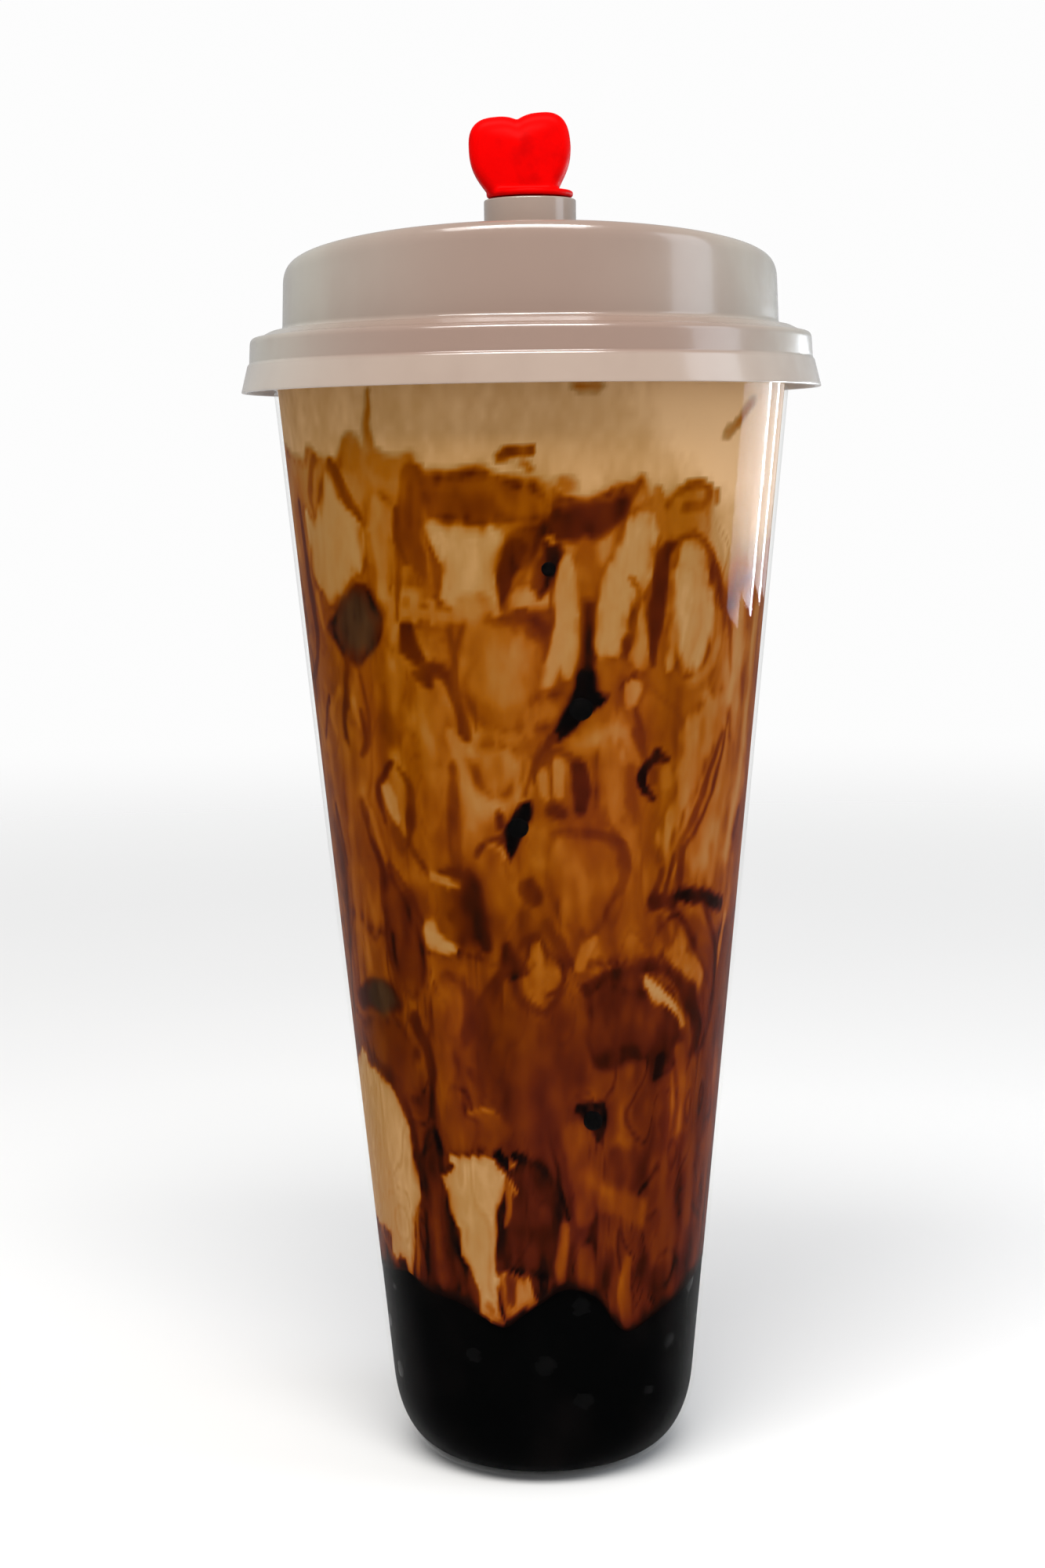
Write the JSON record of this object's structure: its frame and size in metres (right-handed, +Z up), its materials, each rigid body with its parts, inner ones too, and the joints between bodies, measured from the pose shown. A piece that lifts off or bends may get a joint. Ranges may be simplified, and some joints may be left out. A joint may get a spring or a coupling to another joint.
{
  "type": "bubble tea",
  "caption": "Tall clear cup of brown sugar milk tea over black tapioca pearls, shut by a white sip lid with a slanted top and a red heart stopper in its spout.",
  "frame": {"origin": "centre of the cup's foot, on the surface that it stands on", "axes": "+Z up along the cup's axis, -Y towards the stopper's side, +X to the right as seen from there"},
  "size_m": [0.095, 0.095, 0.2197],
  "materials": {
    "cup": "clear, glossy",
    "milk_tea": "milk with caramel streaks",
    "pearls": "wet, glossy",
    "lid": "translucent white, glossy",
    "stopper": "satin red"
  },
  "bodies": {
    "root": {"cup": "cup", "milk_tea": "milk_tea", "pearls": "pearls", "lid": "lid", "stopper": "stopper"}
  },
  "joints": []
}
